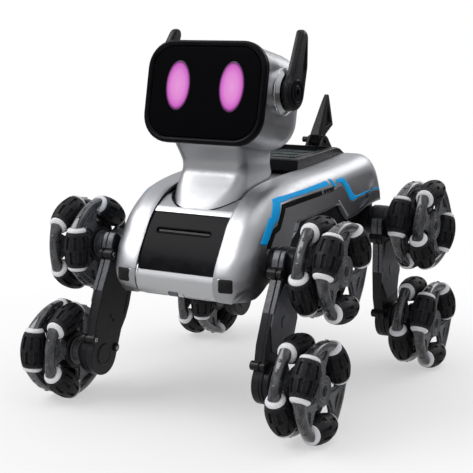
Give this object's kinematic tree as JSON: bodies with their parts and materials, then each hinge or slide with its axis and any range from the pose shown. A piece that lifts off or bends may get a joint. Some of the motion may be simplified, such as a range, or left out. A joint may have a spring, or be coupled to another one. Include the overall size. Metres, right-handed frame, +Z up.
{
  "type": "quadruped robot dog",
  "caption": "Toy robot dog with a screen face, turning ears, swinging legs and omnidirectional roller wheels at hips and feet.",
  "frame": {"origin": "on the floor, at the middle of the overall bounding box's footprint", "axes": "+Z up; the dog faces -Y and its left side is +X, so Y is its length"},
  "size_m": [0.2494, 0.2896, 0.2807],
  "materials": {
    "silver_paint": "satin metallic silver paint on moulded plastic",
    "black_plastic": "satin black moulded plastic",
    "gloss_black": "gloss black plastic",
    "display": "gloss black display window; two oval lights shine through it",
    "grey_plastic": "mid grey moulded plastic",
    "smoke_plastic": "smoky grey translucent plastic",
    "wheel_assembly": "smoky grey plastic carrier with black rubber rollers and white roller ends",
    "black_rubber": "matte black rubber with white plastic ends",
    "battery_wrap": "blue shrink wrap"
  },
  "bodies": {
    "chassis": {"chassis": "black_plastic", "body_shell_left": "silver_paint", "body_shell_right": "silver_paint", "chest_panel": "gloss_black", "chest_cowl": "silver_paint", "bumper": "silver_paint", "back_tray": "black_plastic", "neck": "silver_paint", "head_shell": "silver_paint", "face_bezel": "gloss_black", "face_screen": "display", "ear_pod_left": "silver_paint", "ear_pod_right": "silver_paint", "tail_base": "black_plastic", "battery_cover": "black_plastic", "battery_pack": "battery_wrap"},
    "ear_left": {"ear_left": "black_plastic"},
    "ear_right": {"ear_right": "black_plastic"},
    "leg_front_left": {"leg_inner_front_left": "black_plastic", "leg_outer_front_left": "grey_plastic"},
    "leg_front_right": {"leg_inner_front_right": "black_plastic", "leg_outer_front_right": "grey_plastic"},
    "leg_rear_left": {"leg_inner_rear_left": "black_plastic", "leg_outer_rear_left": "grey_plastic"},
    "leg_rear_right": {"leg_inner_rear_right": "black_plastic", "leg_outer_rear_right": "grey_plastic"},
    "power_switch": {"power_switch": "grey_plastic"},
    "tail_fin": {"tail_fin": "black_plastic"},
    "wheel_lower_front_left": {"wheel_hub_front_left": "smoke_plastic"},
    "wheel_lower_front_right": {"wheel_hub_front_right": "smoke_plastic"},
    "wheel_lower_rear_left": {"wheel_hub_rear_left": "smoke_plastic"},
    "wheel_lower_rear_right": {"wheel_hub_rear_right": "smoke_plastic"},
    "wheel_upper_front_left": {"wheel_upper_front_left": "wheel_assembly"},
    "wheel_upper_front_right": {"wheel_upper_front_right": "wheel_assembly"},
    "wheel_upper_rear_left": {"wheel_upper_rear_left": "wheel_assembly"},
    "wheel_upper_rear_right": {"wheel_upper_rear_right": "wheel_assembly"},
    "roller_front_left_1": {"roller_front_left_1": "black_rubber"},
    "roller_front_left_2": {"roller_front_left_2": "black_rubber"},
    "roller_front_left_3": {"roller_front_left_3": "black_rubber"},
    "roller_front_left_4": {"roller_front_left_4": "black_rubber"},
    "roller_front_left_5": {"roller_front_left_5": "black_rubber"},
    "roller_front_left_6": {"roller_front_left_6": "black_rubber"},
    "roller_front_right_1": {"roller_front_right_1": "black_rubber"},
    "roller_front_right_2": {"roller_front_right_2": "black_rubber"},
    "roller_front_right_3": {"roller_front_right_3": "black_rubber"},
    "roller_front_right_4": {"roller_front_right_4": "black_rubber"},
    "roller_front_right_5": {"roller_front_right_5": "black_rubber"},
    "roller_front_right_6": {"roller_front_right_6": "black_rubber"},
    "roller_rear_left_1": {"roller_rear_left_1": "black_rubber"},
    "roller_rear_left_2": {"roller_rear_left_2": "black_rubber"},
    "roller_rear_left_3": {"roller_rear_left_3": "black_rubber"},
    "roller_rear_left_4": {"roller_rear_left_4": "black_rubber"},
    "roller_rear_left_5": {"roller_rear_left_5": "black_rubber"},
    "roller_rear_left_6": {"roller_rear_left_6": "black_rubber"},
    "roller_rear_right_1": {"roller_rear_right_1": "black_rubber"},
    "roller_rear_right_2": {"roller_rear_right_2": "black_rubber"},
    "roller_rear_right_3": {"roller_rear_right_3": "black_rubber"},
    "roller_rear_right_4": {"roller_rear_right_4": "black_rubber"},
    "roller_rear_right_5": {"roller_rear_right_5": "black_rubber"},
    "roller_rear_right_6": {"roller_rear_right_6": "black_rubber"}
  },
  "joints": [
    {"name": "ear_left_turn", "type": "hinge", "parent": "chassis", "child": "ear_left", "pos_m": [0.058, -0.043, 0.2365], "axis": [1, 0, 0], "range_deg": [-40, 70]},
    {"name": "ear_right_turn", "type": "hinge", "parent": "chassis", "child": "ear_right", "pos_m": [-0.058, -0.043, 0.2365], "axis": [1, 0, 0], "range_deg": [-40, 70]},
    {"name": "hip_front_left", "type": "hinge", "parent": "chassis", "child": "leg_front_left", "pos_m": [0.068, -0.07447, 0.11571], "axis": [1, 0, 0], "range_deg": [-67, 52]},
    {"name": "hip_front_right", "type": "hinge", "parent": "chassis", "child": "leg_front_right", "pos_m": [-0.068, -0.07447, 0.11571], "axis": [1, 0, 0], "range_deg": [-67, 52]},
    {"name": "hip_rear_left", "type": "hinge", "parent": "chassis", "child": "leg_rear_left", "pos_m": [0.068, 0.09903, 0.12192], "axis": [1, 0, 0], "range_deg": [-35, 84]},
    {"name": "hip_rear_right", "type": "hinge", "parent": "chassis", "child": "leg_rear_right", "pos_m": [-0.068, 0.09903, 0.12192], "axis": [1, 0, 0], "range_deg": [-35, 84]},
    {"name": "power_slide", "type": "slide", "parent": "chassis", "child": "power_switch", "axis": [0, 1, 0], "range_m": [0, 0.004]},
    {"name": "tail_fold", "type": "hinge", "parent": "chassis", "child": "tail_fin", "pos_m": [0, 0.117, 0.185], "axis": [1, 0, 0], "range_deg": [-45, 30]},
    {"name": "wheel_lower_front_left_spin", "type": "hinge", "parent": "leg_front_left", "child": "wheel_lower_front_left", "pos_m": [0.1049, -0.1072, 0.038], "axis": [1, 0, 0], "continuous": true},
    {"name": "wheel_lower_front_right_spin", "type": "hinge", "parent": "leg_front_right", "child": "wheel_lower_front_right", "pos_m": [-0.1049, -0.1072, 0.038], "axis": [1, 0, 0], "continuous": true},
    {"name": "wheel_lower_rear_left_spin", "type": "hinge", "parent": "leg_rear_left", "child": "wheel_lower_rear_left", "pos_m": [0.1049, 0.1072, 0.038], "axis": [1, 0, 0], "continuous": true},
    {"name": "wheel_lower_rear_right_spin", "type": "hinge", "parent": "leg_rear_right", "child": "wheel_lower_rear_right", "pos_m": [-0.1049, 0.1072, 0.038], "axis": [1, 0, 0], "continuous": true},
    {"name": "wheel_upper_front_left_spin", "type": "hinge", "parent": "leg_front_left", "child": "wheel_upper_front_left", "pos_m": [0.1049, -0.07447, 0.11571], "axis": [1, 0, 0], "continuous": true},
    {"name": "wheel_upper_front_right_spin", "type": "hinge", "parent": "leg_front_right", "child": "wheel_upper_front_right", "pos_m": [-0.1049, -0.07447, 0.11571], "axis": [1, 0, 0], "continuous": true},
    {"name": "wheel_upper_rear_left_spin", "type": "hinge", "parent": "leg_rear_left", "child": "wheel_upper_rear_left", "pos_m": [0.1049, 0.09903, 0.12192], "axis": [1, 0, 0], "continuous": true},
    {"name": "wheel_upper_rear_right_spin", "type": "hinge", "parent": "leg_rear_right", "child": "wheel_upper_rear_right", "pos_m": [-0.1049, 0.09903, 0.12192], "axis": [1, 0, 0], "continuous": true},
    {"name": "roller_front_left_1_spin", "type": "hinge", "parent": "wheel_lower_front_left", "child": "roller_front_left_1", "pos_m": [0.11417, -0.13102, 0.05175], "axis": [0, -0.5, -0.866], "continuous": true},
    {"name": "roller_front_left_2_spin", "type": "hinge", "parent": "wheel_lower_front_left", "child": "roller_front_left_2", "pos_m": [0.09563, -0.13102, 0.02425], "axis": [0, 0.5, -0.866], "continuous": true},
    {"name": "roller_front_left_3_spin", "type": "hinge", "parent": "wheel_lower_front_left", "child": "roller_front_left_3", "pos_m": [0.11417, -0.1072, 0.0105], "axis": [0, 1, 0], "continuous": true},
    {"name": "roller_front_left_4_spin", "type": "hinge", "parent": "wheel_lower_front_left", "child": "roller_front_left_4", "pos_m": [0.09563, -0.08338, 0.02425], "axis": [0, 0.5, 0.866], "continuous": true},
    {"name": "roller_front_left_5_spin", "type": "hinge", "parent": "wheel_lower_front_left", "child": "roller_front_left_5", "pos_m": [0.11417, -0.08338, 0.05175], "axis": [0, -0.5, 0.866], "continuous": true},
    {"name": "roller_front_left_6_spin", "type": "hinge", "parent": "wheel_lower_front_left", "child": "roller_front_left_6", "pos_m": [0.09563, -0.1072, 0.0655], "axis": [0, -1, 0], "continuous": true},
    {"name": "roller_front_right_1_spin", "type": "hinge", "parent": "wheel_lower_front_right", "child": "roller_front_right_1", "pos_m": [-0.11417, -0.13443, 0.04183], "axis": [0, -0.1392, -0.9903], "continuous": true},
    {"name": "roller_front_right_2_spin", "type": "hinge", "parent": "wheel_lower_front_right", "child": "roller_front_right_2", "pos_m": [-0.09563, -0.12413, 0.01633], "axis": [0, 0.788, -0.6157], "continuous": true},
    {"name": "roller_front_right_3_spin", "type": "hinge", "parent": "wheel_lower_front_right", "child": "roller_front_right_3", "pos_m": [-0.11417, -0.0969, 0.0125], "axis": [0, 0.9272, 0.3746], "continuous": true},
    {"name": "roller_front_right_4_spin", "type": "hinge", "parent": "wheel_lower_front_right", "child": "roller_front_right_4", "pos_m": [-0.09563, -0.07997, 0.03417], "axis": [0, 0.1392, 0.9903], "continuous": true},
    {"name": "roller_front_right_5_spin", "type": "hinge", "parent": "wheel_lower_front_right", "child": "roller_front_right_5", "pos_m": [-0.11417, -0.09027, 0.05967], "axis": [0, -0.788, 0.6157], "continuous": true},
    {"name": "roller_front_right_6_spin", "type": "hinge", "parent": "wheel_lower_front_right", "child": "roller_front_right_6", "pos_m": [-0.09563, -0.1175, 0.0635], "axis": [0, -0.9272, -0.3746], "continuous": true},
    {"name": "roller_rear_left_1_spin", "type": "hinge", "parent": "wheel_lower_rear_left", "child": "roller_rear_left_1", "pos_m": [0.11417, 0.08338, 0.05175], "axis": [0, -0.5, -0.866], "continuous": true},
    {"name": "roller_rear_left_2_spin", "type": "hinge", "parent": "wheel_lower_rear_left", "child": "roller_rear_left_2", "pos_m": [0.09563, 0.08338, 0.02425], "axis": [0, 0.5, -0.866], "continuous": true},
    {"name": "roller_rear_left_3_spin", "type": "hinge", "parent": "wheel_lower_rear_left", "child": "roller_rear_left_3", "pos_m": [0.11417, 0.1072, 0.0105], "axis": [0, 1, 0], "continuous": true},
    {"name": "roller_rear_left_4_spin", "type": "hinge", "parent": "wheel_lower_rear_left", "child": "roller_rear_left_4", "pos_m": [0.09563, 0.13102, 0.02425], "axis": [0, 0.5, 0.866], "continuous": true},
    {"name": "roller_rear_left_5_spin", "type": "hinge", "parent": "wheel_lower_rear_left", "child": "roller_rear_left_5", "pos_m": [0.11417, 0.13102, 0.05175], "axis": [0, -0.5, 0.866], "continuous": true},
    {"name": "roller_rear_left_6_spin", "type": "hinge", "parent": "wheel_lower_rear_left", "child": "roller_rear_left_6", "pos_m": [0.09563, 0.1072, 0.0655], "axis": [0, -1, 0], "continuous": true},
    {"name": "roller_rear_right_1_spin", "type": "hinge", "parent": "wheel_lower_rear_right", "child": "roller_rear_right_1", "pos_m": [-0.11417, 0.09345, 0.01418], "axis": [0, 0.866, -0.5], "continuous": true},
    {"name": "roller_rear_right_2_spin", "type": "hinge", "parent": "wheel_lower_rear_right", "child": "roller_rear_right_2", "pos_m": [-0.09563, 0.12095, 0.01418], "axis": [0, 0.866, 0.5], "continuous": true},
    {"name": "roller_rear_right_3_spin", "type": "hinge", "parent": "wheel_lower_rear_right", "child": "roller_rear_right_3", "pos_m": [-0.11417, 0.1347, 0.038], "axis": [0, 0, 1], "continuous": true},
    {"name": "roller_rear_right_4_spin", "type": "hinge", "parent": "wheel_lower_rear_right", "child": "roller_rear_right_4", "pos_m": [-0.09563, 0.12095, 0.06182], "axis": [0, -0.866, 0.5], "continuous": true},
    {"name": "roller_rear_right_5_spin", "type": "hinge", "parent": "wheel_lower_rear_right", "child": "roller_rear_right_5", "pos_m": [-0.11417, 0.09345, 0.06182], "axis": [0, -0.866, -0.5], "continuous": true},
    {"name": "roller_rear_right_6_spin", "type": "hinge", "parent": "wheel_lower_rear_right", "child": "roller_rear_right_6", "pos_m": [-0.09563, 0.0797, 0.038], "axis": [0, 0, -1], "continuous": true}
  ]
}
